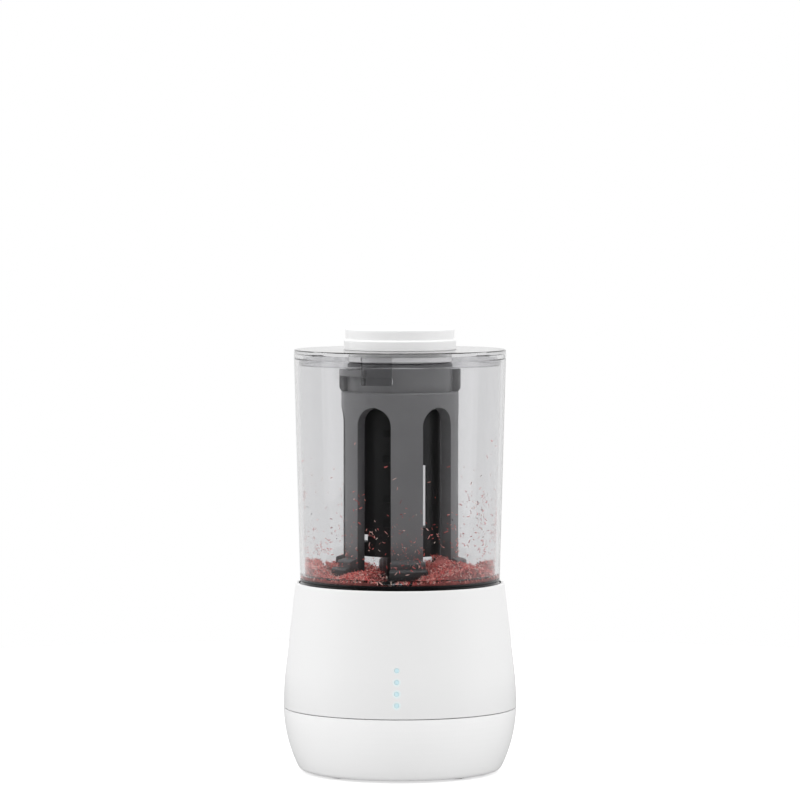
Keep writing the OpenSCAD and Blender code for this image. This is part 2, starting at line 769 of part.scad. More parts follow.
module helical_cutter() color("#c4c7ca") at_cutter() {
  root_r = cutter_d / 2 - 0.85;
  step = 360 / edge_count;
  difference() {
    translate([0, 0, cutter_low]) linear_extrude(cutter_high - cutter_low, twist = 150, slices = 18)
      polygon([for (i = [0:edge_count - 1]) each [
        polar(root_r, i * step), polar(root_r + 0.35, (i + 0.45) * step),
        polar(cutter_d / 2, (i + 0.9) * step)]]);
    translate([0, 0, cutter_low - 1]) cylinder(r = 1.56, h = 40);
  }
}

module cutter_pinion() color("#8f9296") at_cutter() difference() {
  union() {
    translate([0, 0, -2.2]) linear_extrude(4.4)
      gear_outline(cutter_teeth, head_module, 0.8, 1.15, 0.3, 90);
    translate([0, 0, cutter_high + gap]) cylinder(r = 3.4, h = -cutter_high - 2.1);
  }
  translate([0, 0, -5]) cylinder(r = 1.56, h = 10);
}

// Feed head: three rubber rollers that grip the pencil and draw it down

roller_r = 5;
roller_at = 8.75;
roller_lean = 5;
roller_mid = 165;

// Places the children on roller i's leaning axle
module at_roller(i) {
  rotate(30 + 120 * i) translate([roller_at, 0, roller_mid]) rotate([roller_lean, 0, 0]) children();
}

module feed_head() color("#2a2a2d") difference() {
  union() {
    disc(head_r, head_low, head_low + head_plate_t);
    around(3, 90) translate([13, 0, 0]) disc(2.4, head_low, cap_low - gap);
  }
  disc(4.6, head_low - 1, cap_low);
  around(3, 90) translate([13, 0, 0]) disc(0.9, head_low + 4, cap_low + 1);
  at_head_screws() disc(1.1, head_low - 1, head_low + 3);
  for (i = [0:2]) at_roller(i) cylinder(r = 1.25, h = 13.6, center = true);
}

module feed_head_cap() color("#2a2a2d") difference() {
  disc(head_r, cap_low, cap_low + cap_t);
  disc(4.6, cap_low - 1, cap_low + cap_t + 1);
  around(3, 90) translate([13, 0, 0]) disc(1.2, cap_low - 1, cap_low + cap_t + 1);
  for (i = [0:2]) at_roller(i) cylinder(r = 1.25, h = 11.6, center = true);
}

module roller_axles() color(steel) for (i = [0:2]) at_roller(i)
  cylinder(r = 1.2, h = 11.4, center = true);

module head_screws() color(steel) {
  around(3, 90) translate([13, 0, cap_low + cap_t + 0.5]) rotate([180, 0, 0])
    screw(1.9, 0.45, 0.85, 5);
  at_head_screws() translate([0, 0, head_low + head_plate_t + 0.6]) rotate([180, 0, 0])
    screw(1.8, 0.6, 0.85, 6.5);
}

module feed_roller(i) color("#3b3b3e") at_roller(i) difference() {
  rotate_extrude() polygon([
    [1.26, -3.9], [roller_r - 0.6, -3.9], [roller_r, -3.3], [roller_r, 3.3],
    [roller_r - 0.6, 3.9], [1.26, 3.9]]);
  around(6) translate([roller_r + 0.1, 0, -5]) cylinder(r = 0.35, h = 10);
}

// Bin, lid and port

module bin_foot_ring() color(black) {
  r = bin_foot_d / 2;
  low = deck_top + gap;
  rotate_extrude() polygon([
    [r - 3, low], [r - 0.3, low], [r, low + 0.4], [r, low + 1.2], [r - 0.45, low + 1.6],
    [r - 0.45, low + 2.1], [r, low + 2.5], [r, bin_floor_top - 0.1],
    [r - bin_t + 0.1, bin_floor_top - 0.1], [r - bin_t + 0.1, bin_floor_low - 0.1],
    [r - 3, bin_floor_low - 0.1]]);
}

module shavings_bin() color("#dfe4e8", 0.35) {
  foot_r = bin_foot_d / 2;
  top_r = bin_top_d / 2;
  hole_r = 30.8;
  lip = 1.2;
  rotate_extrude() polygon([
    [hole_r, bin_floor_low], [foot_r - bin_t, bin_floor_low], [foot_r - bin_t, bin_floor_top],
    [foot_r, bin_floor_top], [top_r, lid_low - gap], [top_r - bin_t, lid_low - gap],
    [foot_r - bin_t, bin_floor_top + 2], [foot_r - bin_t - 1.6, bin_floor_top + 0.4],
    [foot_r - bin_t - 2.4, bin_floor_top], [hole_r + lip, bin_floor_top],
    [hole_r + lip, bin_floor_top + 2.6], [hole_r, bin_floor_top + 2.6]]);
}

module bin_lid() color("#dfe4e8", 0.35) {
  r = bin_top_d / 2;
  plug_r = r - bin_t - 0.25;
  arm_r = 25;
  hook_low = 157.2;
  hook_high = 160.1;
  hook_at = -90 - 20;
  hook_half = 14;
  difference() {
    union() {
      rotate_extrude() polygon([
        [port_neck_r + 0.2, lid_h - lid_t], [plug_r - 1.4, lid_h - lid_t],
        [plug_r - 1.4, lid_low - 2.6], [plug_r - 0.3, lid_low - 2.6], [plug_r, lid_low - 2],
        [plug_r, lid_low], [r - 0.2, lid_low], [r, lid_low + 0.2], [r, lid_h - 0.4],
        [r - 0.4, lid_h], [port_neck_r + 0.2, lid_h]]);
      // arms and hooks of the bayonet lock
      for (a = [0, 180]) intersection() {
        union() {
          ring(arm_r + 1.5, arm_r, hook_low, lid_h - 0.5);
          ring(arm_r + 0.5, collar_r + 0.5, hook_low, hook_high);
        }
        sector(a + hook_at - hook_half, a + hook_at + hook_half);
      }
    }
  }
}

port_neck_r = 20.8;

module port_ring() color(white) {
  r = port_d / 2;
  step_h = port_h - 4.6;
  dish_r = 9.6;
  guide_r = 6.5;
  cavity_r = head_r + 0.9;
  difference() {
    rotate_extrude() polygon(concat(
      [[cavity_r, collar_h + 0.4], [port_neck_r - 0.4, collar_h + 0.4], [port_neck_r, collar_h + 0.8],
       [port_neck_r, lid_h + gap], [r, lid_h + gap]],
      arc([r - 0.7, step_h - 0.7], 0.7, 0, 90, 4), [[r - 0.75, step_h]],
      arc([r - 1.7, port_h - 1], 1, 0, 90, 5),
      [[dish_r + 0.5, port_h], [dish_r, port_h - 0.3], [guide_r + 1.3, port_h - 2.4],
       [guide_r + 1.3, port_h - 3.2], [guide_r, port_h - 3.2], [guide_r, cap_low + cap_t + 1.2],
       [cavity_r, cap_low + cap_t + 1.2]]));
  }
}

module pencil_guide() color("#dcdcda") {
  r = pencil_hole_d / 2;
  low = port_h - 6.6;
  rotate_extrude() polygon([
    [r, low], [6.5 - gap, low], [6.5 - gap, port_h - 3.2 + gap], [7.6, port_h - 3.2 + gap],
    [7.6, port_h - 2.6], [7.2, port_h - 2.2], [r + 1.5, port_h - 2.2], [r, port_h - 3.4]]);
}

lower_shell();
upper_shell();
rubber_feet();
case_screws();
deck_plate();
deck_screws();
cutter_cage();
cage_screws();
ring_gear();
upper_bush();
gear_plate();
plate_screws();
idler_axle();
lower_bush();
bearing_outer_race();
bearing_balls();
motor_can();
motor_magnets();
motor_endcap();
motor_terminals();
battery_cell();
battery_cradle();
battery_contacts();
main_board();
board_parts();
status_lights();
light_guides();
charge_board();
charge_socket();
start_switch();
switch_bracket();
motor_leads();
battery_leads();
charge_leads();
cutter_carrier();
output_shaft();
drive_pin();
output_gear();
bearing_inner_race();
cutter_axle();
feed_head();
feed_head_cap();
roller_axles();
head_screws();
helical_cutter();
cutter_pinion();
idler_gear();
motor_armature();
motor_pinion();
feed_roller(0);  // feed_roller_1
feed_roller(1);  // feed_roller_2
feed_roller(2);  // feed_roller_3
bin_foot_ring();
shavings_bin();
bin_lid();
port_ring();
pencil_guide();
sensing_rod();
switch_lever();
switch_plunger();
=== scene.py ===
import bpy
import bmesh
import json
import math
import random
from mathutils import Matrix, Vector, noise
from mathutils.bvhtree import BVHTree


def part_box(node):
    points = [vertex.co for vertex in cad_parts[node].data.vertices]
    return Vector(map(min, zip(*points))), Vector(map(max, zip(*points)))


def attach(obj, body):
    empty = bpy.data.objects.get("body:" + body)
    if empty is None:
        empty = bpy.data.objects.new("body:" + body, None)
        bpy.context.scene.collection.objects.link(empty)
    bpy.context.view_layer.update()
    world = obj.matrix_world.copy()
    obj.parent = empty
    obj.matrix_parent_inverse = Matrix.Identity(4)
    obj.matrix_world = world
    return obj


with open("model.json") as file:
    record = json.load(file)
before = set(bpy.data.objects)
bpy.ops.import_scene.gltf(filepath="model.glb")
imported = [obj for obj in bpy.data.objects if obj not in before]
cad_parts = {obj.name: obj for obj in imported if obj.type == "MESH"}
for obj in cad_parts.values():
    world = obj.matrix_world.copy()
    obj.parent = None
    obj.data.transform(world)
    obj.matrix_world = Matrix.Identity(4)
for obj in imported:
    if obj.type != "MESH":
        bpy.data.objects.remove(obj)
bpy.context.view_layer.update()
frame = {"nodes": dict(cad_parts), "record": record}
nodes = frame["nodes"]
mm = 0.001
print("frame loaded:", len(nodes), "nodes")


camera = {
    "distance": 1.775,      # metres from the object's axis
    "height": 0.2406,
    "turn": 1.6,            # degrees that the camera stands to the right of the front
    "lens": 198,            # millimetres
    "sensor": 36,
    "aimHeight": 0.1503,    # height that the middle of the view passes the axis at
}


def placeCamera():
    cam = bpy.data.objects.new("camera", bpy.data.cameras.new("camera"))
    bpy.context.collection.objects.link(cam)
    turn = math.radians(camera["turn"])
    cam.location = (camera["distance"] * math.sin(turn), -camera["distance"] * math.cos(turn),
                    camera["height"])
    aim = Vector((0, 0, camera["aimHeight"])) - cam.location
    cam.rotation_euler = aim.to_track_quat("-Z", "Y").to_euler()
    cam.data.lens = camera["lens"]
    cam.data.sensor_width = camera["sensor"]
    cam.data.clip_end = 10 * camera["distance"]
    bpy.context.scene.camera = cam


def toLinear(hexColour):
    parts = [int(hexColour[i:i + 2], 16) / 255 for i in (1, 3, 5)]
    return tuple(c / 12.92 if c < 0.04045 else ((c + 0.055) / 1.055) ** 2.4 for c in parts) + (1.0,)


def addNode(tree, kind, settings=None, links=None):
    # settings fill the node's own values or its sockets, links join its sockets to others
    node = tree.nodes.new(kind)
    for key, value in (settings or {}).items():
        if isinstance(key, int) or key in node.inputs:
            node.inputs[key].default_value = value
        else:
            setattr(node, key, value)
    for key, source in (links or {}).items():
        tree.links.new(source, node.inputs[key])
    return node


studio = {
    "backdrop": 1.0,        # how bright the paper behind the object is
    "room": 0.80,           # light that the paper sends back on the object
    "flags": 0.05,          # what polished surfaces find in the dark room behind the camera
    "screen": 0.92,         # and in the white screens behind and beside the object
    "screenEdge": (-0.75, 0.15),    # where the dark room ends and the screens begin, front to back
    "tableGlow": 0.45,      # light that comes up through the table's paper
    "floorRadius": 0.5,
    # what the floor sends back: to polished surfaces, and to all the others
    "floorGloss": "#1c1c1c",
    "floorBounce": "#bcbcbc",
    # name: (place in metres, aim height, width, height, watts)
    "lamps": {
        "leftPanel": ((-1.35, -0.25, 0.55), 0.10, 0.9, 1.3, 3.9),
        "rightPanel": ((1.4, -0.15, 0.5), 0.10, 0.8, 1.2, 3.0),
        "topPanel": ((0.0, -0.1, 1.5), 0.10, 1.8, 1.8, 15.0),
    },
}


def sortRays(tree):
    # tells rays that look straight at a thing, also through clear walls, from reflected ones
    path = addNode(tree, "ShaderNodeLightPath")
    straight = addNode(tree, "ShaderNodeMath", {"operation": "LESS_THAN", 1: 0.5},
                       {0: path.outputs["Glossy Depth"]})
    through = addNode(tree, "ShaderNodeMath", {"operation": "MULTIPLY"},
                      {0: path.outputs["Is Transmission Ray"], 1: straight.outputs[0]})
    seen = addNode(tree, "ShaderNodeMath", {"operation": "MAXIMUM"},
                   {0: path.outputs["Is Camera Ray"], 1: through.outputs[0]})
    mirrored = addNode(tree, "ShaderNodeMath", {"operation": "MAXIMUM"},
                       {0: path.outputs["Is Glossy Ray"], 1: path.outputs["Is Transmission Ray"]})
    return seen.outputs[0], mirrored.outputs[0]


def placeLamps():
    world = bpy.data.worlds.new("studioWorld")
    world.use_nodes = True
    tree = world.node_tree
    seen, mirrored = sortRays(tree)
    sky = addNode(tree, "ShaderNodeTexCoord").outputs["Generated"]
    facing = addNode(tree, "ShaderNodeSeparateXYZ", None, {0: sky})
    dark, light = studio["screenEdge"]
    polish = addNode(tree, "ShaderNodeMapRange", {"From Min": dark, "From Max": light,
                     "To Min": studio["flags"], "To Max": studio["screen"]},
                     {"Value": facing.outputs["Y"]})
    lit = addNode(tree, "ShaderNodeMix", {2: studio["room"]},
                  {0: mirrored, 3: polish.outputs["Result"]})
    bright = addNode(tree, "ShaderNodeMix", {3: studio["backdrop"]},
                     {0: seen, 2: lit.outputs[0]})
    back = tree.nodes["Background"]
    back.inputs["Color"].default_value = toLinear("#ffffff")
    tree.links.new(bright.outputs[0], back.inputs["Strength"])
    bpy.context.scene.world = world
    for name, (place, aimHeight, width, height, watts) in studio["lamps"].items():
        data = bpy.data.lights.new(name, "AREA")
        data.shape = "RECTANGLE"
        data.size = width
        data.size_y = height
        data.energy = watts
        lamp = bpy.data.objects.new(name, data)
        bpy.context.collection.objects.link(lamp)
        lamp.location = place
        lamp.visible_glossy = False     # no bright window in the clear walls
        aim = Vector((0, 0, aimHeight)) - lamp.location
        lamp.rotation_euler = aim.to_track_quat("-Z", "Y").to_euler()


def newMaterial(name, colour, roughness, **more):
    mat = bpy.data.materials.new(name)
    mat.use_nodes = True
    tree = mat.node_tree
    shader = tree.nodes["Principled BSDF"]
    shader.inputs["Base Color"].default_value = toLinear(colour)
    shader.inputs["Roughness"].default_value = roughness
    for socket, value in more.items():
        shader.inputs[socket.replace("_", " ")].default_value = value
    return mat, tree, shader, addNode(tree, "ShaderNodeTexCoord").outputs["Object"]


def mouldedPlastic(name, look):
    # injection moulded and spark-eroded: an even colour, a soft sheen and a hair-fine grain
    rough = look["roughness"]
    mat, tree, shader, place = newMaterial(name, look["colour"], rough, IOR=1.53)
    cloud = addNode(tree, "ShaderNodeTexNoise", {"Scale": 1 / (25 * mm), "Detail": 2}, {"Vector": place})
    tint = addNode(tree, "ShaderNodeMix", {"data_type": "RGBA", 6: toLinear(look["colour"]),
                   7: toLinear(look["shade"])}, {0: cloud.outputs["Fac"]})
    grain = addNode(tree, "ShaderNodeTexNoise", {"Scale": 1 / look["grain"], "Detail": 2},
                    {"Vector": place})
    sheen = addNode(tree, "ShaderNodeMapRange", {"From Min": 0.3, "From Max": 0.7,
                    "To Min": rough - 0.05, "To Max": rough + 0.07}, {"Value": grain.outputs["Fac"]})
    edge = addNode(tree, "ShaderNodeBevel", {"samples": 6, "Radius": look["edge"]})
    relief = addNode(tree, "ShaderNodeBump", {"Distance": look["relief"]},
                     {"Height": grain.outputs["Fac"], "Normal": edge.outputs["Normal"]})
    tree.links.new(tint.outputs[2], shader.inputs["Base Color"])
    tree.links.new(sheen.outputs["Result"], shader.inputs["Roughness"])
    tree.links.new(relief.outputs["Normal"], shader.inputs["Normal"])
    return mat


plasticLooks = {
    # the grain of a fine moulded finish is about 0.1 mm: drawn at 0.5 mm, so that it shows
    "mouldedAbsWhite": {"colour": "#fafafa", "shade": "#f7f7f7", "roughness": 0.36,
                        "grain": 0.5 * mm, "relief": 0.006 * mm, "edge": 0.35 * mm},
    "mouldedAbsGrey": {"colour": "#828283", "shade": "#7a7a7b", "roughness": 0.42,
                       "grain": 0.5 * mm, "relief": 0.010 * mm, "edge": 0.45 * mm},
    "mouldedAbsBlack": {"colour": "#111112", "shade": "#161617", "roughness": 0.42,
                        "grain": 0.5 * mm, "relief": 0.010 * mm, "edge": 0.3 * mm},
    "polishedAbsBlack": {"colour": "#101012", "shade": "#141416", "roughness": 0.12,
                         "grain": 1.5 * mm, "relief": 0.002 * mm, "edge": 0.25 * mm},
    "naturalAcetal": {"colour": "#e8e3d6", "shade": "#dfd9c8", "roughness": 0.33,
                      "grain": 0.4 * mm, "relief": 0.006 * mm, "edge": 0.12 * mm},
    "glassFilledNylon": {"colour": "#1f1f21", "shade": "#27272a", "roughness": 0.5,
                         "grain": 0.3 * mm, "relief": 0.012 * mm, "edge": 0.2 * mm},
    "epoxyMoulding": {"colour": "#232326", "shade": "#2b2b2e", "roughness": 0.6,
                      "grain": 0.25 * mm, "relief": 0.012 * mm, "edge": 0.12 * mm},
    "redPolycarbonate": {"colour": "#a8352c", "shade": "#9c2d25", "roughness": 0.25,
                         "grain": 0.5 * mm, "relief": 0.003 * mm, "edge": 0.12 * mm},
}


def workedMetal(name, look):
    # turned, drawn or stamped: fine marks one way, which pull the highlight out across them
    rough = look["roughness"]
    mat, tree, shader, place = newMaterial(name, look["colour"], rough, Metallic=1.0)
    along = addNode(tree, "ShaderNodeMapping", {"Scale": look["stretch"]}, {"Vector": place})
    marks = addNode(tree, "ShaderNodeTexNoise", {"Scale": 1 / look["marks"], "Detail": 4},
                    {"Vector": along.outputs["Vector"]}).outputs["Fac"]
    sheen = addNode(tree, "ShaderNodeMapRange", {"From Min": 0.3, "From Max": 0.7,
                    "To Min": rough - 0.08, "To Max": rough + 0.12}, {"Value": marks})
    tint = addNode(tree, "ShaderNodeMix", {"data_type": "RGBA", 6: toLinear(look["colour"]),
                   7: toLinear(look["shade"])}, {0: marks})
    edge = addNode(tree, "ShaderNodeBevel", {"samples": 6, "Radius": look["edge"]})
    relief = addNode(tree, "ShaderNodeBump", {"Distance": look["relief"]},
                     {"Height": marks, "Normal": edge.outputs["Normal"]})
    tree.links.new(tint.outputs[2], shader.inputs["Base Color"])
    tree.links.new(sheen.outputs["Result"], shader.inputs["Roughness"])
    tree.links.new(relief.outputs["Normal"], shader.inputs["Normal"])
    return mat


metalLooks = {
    "zincPlatedSteel": {"colour": "#c3c6c9", "shade": "#b0b4b8", "roughness": 0.30, "marks": 0.6 * mm,
                        "stretch": (1, 1, 6), "relief": 0.004 * mm, "edge": 0.15 * mm},
    "groundBearingSteel": {"colour": "#c9cbce", "shade": "#b9bcc0", "roughness": 0.18,
                           "marks": 0.5 * mm, "stretch": (1, 1, 8), "relief": 0.002 * mm,
                           "edge": 0.1 * mm},
    "milledToolSteel": {"colour": "#a9acb0", "shade": "#96999d", "roughness": 0.28,
                        "marks": 0.4 * mm, "stretch": (2, 2, 1), "relief": 0.004 * mm,
                        "edge": 0.08 * mm},
    "stampedAluminium": {"colour": "#c4c6c8", "shade": "#b4b6b9", "roughness": 0.38,
                         "marks": 0.7 * mm, "stretch": (8, 1, 1), "relief": 0.004 * mm,
                         "edge": 0.15 * mm},
    "nickelPlatedSteel": {"colour": "#cfcbc2", "shade": "#bdb9b0", "roughness": 0.24,
                          "marks": 0.8 * mm, "stretch": (1, 1, 5), "relief": 0.003 * mm,
                          "edge": 0.15 * mm},
    "turnedBrass": {"colour": "#d6b465", "shade": "#c19d50", "roughness": 0.27, "marks": 0.5 * mm,
                    "stretch": (1, 1, 9), "relief": 0.003 * mm, "edge": 0.1 * mm},
}


def softRubber(name, look):
    # moulded rubber: dull, with a dusty bloom in its grain
    mat, tree, shader, place = newMaterial(name, look["colour"], look["roughness"], IOR=1.52)
    bloom = addNode(tree, "ShaderNodeTexNoise", {"Scale": 1 / look["bloom"], "Detail": 4},
                    {"Vector": place})
    dusty = addNode(tree, "ShaderNodeMapRange", {"From Min": 0.45, "From Max": 0.75},
                    {"Value": bloom.outputs["Fac"]})
    tint = addNode(tree, "ShaderNodeMix", {"data_type": "RGBA", 6: toLinear(look["colour"]),
                   7: toLinear(look["shade"])}, {0: dusty.outputs["Result"]})
    grain = addNode(tree, "ShaderNodeTexNoise", {"Scale": 1 / look["grain"], "Detail": 3},
                    {"Vector": place})
    edge = addNode(tree, "ShaderNodeBevel", {"samples": 6, "Radius": look["edge"]})
    relief = addNode(tree, "ShaderNodeBump", {"Distance": look["relief"]},
                     {"Height": grain.outputs["Fac"], "Normal": edge.outputs["Normal"]})
    tree.links.new(tint.outputs[2], shader.inputs["Base Color"])
    tree.links.new(relief.outputs["Normal"], shader.inputs["Normal"])
    return mat


rubberLooks = {
    "footRubber": {"colour": "#262627", "shade": "#343434", "roughness": 0.8, "bloom": 2 * mm,
                   "grain": 0.3 * mm, "relief": 0.02 * mm, "edge": 0.3 * mm},
    "rollerRubber": {"colour": "#2b2b2d", "shade": "#3a3a3b", "roughness": 0.7, "bloom": 1 * mm,
                     "grain": 0.25 * mm, "relief": 0.02 * mm, "edge": 0.15 * mm},
    "redSilicone": {"colour": "#a3241c", "shade": "#b1362d", "roughness": 0.45, "bloom": 2 * mm,
                    "grain": 0.4 * mm, "relief": 0.005 * mm, "edge": 0.1 * mm},
    "blackSilicone": {"colour": "#1c1c1e", "shade": "#29292b", "roughness": 0.45, "bloom": 2 * mm,
                      "grain": 0.4 * mm, "relief": 0.005 * mm, "edge": 0.1 * mm},
    "whiteSilicone": {"colour": "#cfcecb", "shade": "#dddcd9", "roughness": 0.45, "bloom": 2 * mm,
                      "grain": 0.4 * mm, "relief": 0.005 * mm, "edge": 0.1 * mm},
}

clearLook = {
    "tint": "#e5e5e6",       # a faint smoky grey, deeper where a wall is seen on edge
    "shadowTint": "#fcfcfc",
    "roughness": 0.015,
    "ior": 1.49,
}


def clearStyrene(name):
    # clear moulded styrene: mirror-smooth, with thin dark rims and a faint grey in its thickness
    mat, tree, shader, place = newMaterial(name, clearLook["tint"], clearLook["roughness"],
                                           IOR=clearLook["ior"], Transmission_Weight=1.0)
    swirl = addNode(tree, "ShaderNodeTexNoise", {"Scale": 1 / (9 * mm), "Detail": 2},
                    {"Vector": place})
    haze = addNode(tree, "ShaderNodeMapRange", {"From Min": 0.35, "From Max": 0.7,
                   "To Min": 0.005, "To Max": 0.03}, {"Value": swirl.outputs["Fac"]})
    tree.links.new(haze.outputs["Result"], shader.inputs["Roughness"])
    clear = addNode(tree, "ShaderNodeBsdfTransparent", {"Color": toLinear(clearLook["shadowTint"])})
    lampRay = addNode(tree, "ShaderNodeLightPath")
    mix = addNode(tree, "ShaderNodeMixShader", None, {0: lampRay.outputs["Is Shadow Ray"],
                  1: shader.outputs["BSDF"], 2: clear.outputs["BSDF"]})
    tree.links.new(mix.outputs["Shader"], tree.nodes["Material Output"].inputs["Surface"])
    return mat


footShade = {
    "colour": "#1d1d1f",     # painted shade on the cage's feet
    "low": 7.0 * mm,         # above the deck, with the edge's waver: full painted shade up to here
    "high": 25 * mm,         # and nearly none from here on
    "most": 0.9,
    "least": 0.06,
    "waver": 8 * mm,
}


def footShadedAbsGrey(name):
    # the cage's grey shell, with painted shade darkening it toward its feet
    mat = mouldedPlastic(name, plasticLooks["mouldedAbsGrey"])
    tree = mat.node_tree
    shader = tree.nodes["Principled BSDF"]
    place = addNode(tree, "ShaderNodeTexCoord").outputs["Object"]
    height = addNode(tree, "ShaderNodeSeparateXYZ", None, {0: place}).outputs["Z"]
    patch = addNode(tree, "ShaderNodeTexNoise", {"Scale": 1 / (6 * mm), "Detail": 4},
                    {"Vector": place}).outputs["Fac"]
    ragged = addNode(tree, "ShaderNodeMath", {"operation": "MULTIPLY_ADD", 1: footShade["waver"]},
                     {0: patch, 2: height}).outputs[0]
    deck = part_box("deck_plate")[1].z
    share = addNode(tree, "ShaderNodeMapRange", {"From Min": deck + footShade["low"],
                    "From Max": deck + footShade["high"], "To Min": footShade["most"], "To Max": footShade["least"],
                    "interpolation_type": "SMOOTHSTEP"}, {"Value": ragged}).outputs["Result"]
    plain = shader.inputs["Base Color"].links[0].from_socket
    # painted shade: mixes the dark colour into the grey, most near the deck
    tint = addNode(tree, "ShaderNodeMix", {"data_type": "RGBA", 7: toLinear(footShade["colour"])},
                   {0: share, 6: plain})
    tree.links.new(tint.outputs[2], shader.inputs["Base Color"])
    return mat


glow = {
    "shell": "#ececec",      # the upper shell's white, a shade deeper than the lower's: painted shade on the same white ABS
    "skin": "#e3f4f6",       # the white skin where light comes through it
    "heart": "#8fd0ea",
    "inner": 0.7 * mm,
    "outer": 2.1 * mm,
    "flange": 1.5 * mm,      # radius of the light guides' flanges
    "strength": 0.05,
    "count": 4,
}


def litAbsWhite(name):
    # the white shell, with the battery lights glowing through its skin
    # painted shade: the shell uses a deeper copy of the lower shell's white
    mat = mouldedPlastic(name, {**plasticLooks["mouldedAbsWhite"], "colour": glow["shell"],
                                "shade": glow["shell"]})
    tree = mat.node_tree
    shader = tree.nodes["Principled BSDF"]
    place = addNode(tree, "ShaderNodeTexCoord").outputs["Object"]
    low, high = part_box("light_guides")
    first = low.z + glow["flange"]
    last = high.z - glow["flange"]
    total = None
    for i in range(glow["count"]):
        height = first + (last - first) * i / (glow["count"] - 1)
        reach = addNode(tree, "ShaderNodeVectorMath", {"operation": "DISTANCE", 1: (0, low.y, height)},
                        {0: place})
        ring = addNode(tree, "ShaderNodeMapRange", {"From Min": glow["inner"], "From Max": glow["outer"],
                       "To Min": 1, "To Max": 0, "interpolation_type": "SMOOTHSTEP"},
                       {"Value": reach.outputs["Value"]}).outputs["Result"]
        if total is None:
            total = ring
        else:
            total = addNode(tree, "ShaderNodeMath", {"operation": "MAXIMUM"},
                            {0: total, 1: ring}).outputs[0]
    plain = shader.inputs["Base Color"].links[0].from_socket
    tint = addNode(tree, "ShaderNodeMix", {"data_type": "RGBA", 7: toLinear(glow["skin"])},
                   {0: total, 6: plain})
    power = addNode(tree, "ShaderNodeMath", {"operation": "MULTIPLY", 1: glow["strength"]}, {0: total})
    tree.links.new(tint.outputs[2], shader.inputs["Base Color"])
    tree.links.new(power.outputs[0], shader.inputs["Emission Strength"])
    shader.inputs["Emission Color"].default_value = toLinear(glow["skin"])
    return mat


def lightPipe(name):
    # lit acrylic rod end: a cool blue heart
    mat, tree, shader, place = newMaterial(name, "#cfe6ea", 0.3, IOR=1.49)
    shader.inputs["Emission Color"].default_value = toLinear(glow["heart"])
    cloud = addNode(tree, "ShaderNodeTexNoise", {"Scale": 1 / (0.8 * mm), "Detail": 1},
                    {"Vector": place})
    power = addNode(tree, "ShaderNodeMapRange", {"To Min": 0.06, "To Max": 0.16},
                    {"Value": cloud.outputs["Fac"]})
    tree.links.new(power.outputs["Result"], shader.inputs["Emission Strength"])
    return mat


# fine mixed finishes: pattern, its size, two colours and how far it stands up
mixedLooks = {
    # pressed ferrite: near black with a fine sparkle of grains
    "sinteredFerrite": {"size": 0.3 * mm, "stretch": (1, 1, 1), "colours": ("#29292c", "#3c3c40"),
                        "roughness": 0.55, "ior": 1.5, "relief": 0.02 * mm, "edge": 0.2 * mm},
    # heat-shrunk PVC sleeve: glossy blue with slack ripples
    "shrinkWrap": {"size": 5 * mm, "stretch": (1, 2.5, 2.5), "colours": ("#2a5c9c", "#3169ae"),
                   "roughness": 0.22, "ior": 1.53, "relief": 0.08 * mm, "edge": 0.3 * mm},
    # phosphor dome of a surface-mount light
    "ledPhosphor": {"size": 0.2 * mm, "stretch": (1, 1, 1), "colours": ("#efe6b4", "#f8f3d6"),
                    "roughness": 0.35, "ior": 1.5, "relief": 0.01 * mm, "edge": 0.1 * mm},
}


def mixedFinish(name, look):
    mat, tree, shader, place = newMaterial(name, look["colours"][0], look["roughness"], IOR=look["ior"])
    along = addNode(tree, "ShaderNodeMapping", {"Scale": look["stretch"]}, {"Vector": place})
    grain = addNode(tree, "ShaderNodeTexNoise", {"Scale": 1 / look["size"], "Detail": 3},
                    {"Vector": along.outputs["Vector"]}).outputs["Fac"]
    tint = addNode(tree, "ShaderNodeMix", {"data_type": "RGBA", 6: toLinear(look["colours"][0]),
                   7: toLinear(look["colours"][1])}, {0: grain})
    edge = addNode(tree, "ShaderNodeBevel", {"samples": 6, "Radius": look["edge"]})
    relief = addNode(tree, "ShaderNodeBump", {"Distance": look["relief"]},
                     {"Height": grain, "Normal": edge.outputs["Normal"]})
    tree.links.new(tint.outputs[2], shader.inputs["Base Color"])
    tree.links.new(relief.outputs["Normal"], shader.inputs["Normal"])
    return mat


def enamelledCopper(name):
    # wound enamelled wire: 0.4 mm turns side by side, glossy copper red
    mat, tree, shader, place = newMaterial(name, "#b8693a", 0.25, Metallic=0.9)
    turns = addNode(tree, "ShaderNodeTexWave", {"Scale": 0.314 / (0.4 * mm), "Distortion": 0.4,
                    "bands_direction": "Z"}, {"Vector": place}).outputs["Fac"]
    # painted shade and highlight: darker in the grooves between the turns, lighter on their crowns
    tint = addNode(tree, "ShaderNodeMix", {"data_type": "RGBA", 6: toLinear("#8a4a25"),
                   7: toLinear("#c67a46")}, {0: turns})
    relief = addNode(tree, "ShaderNodeBump", {"Distance": 0.08 * mm}, {"Height": turns})
    tree.links.new(tint.outputs[2], shader.inputs["Base Color"])
    tree.links.new(relief.outputs["Normal"], shader.inputs["Normal"])
    return mat


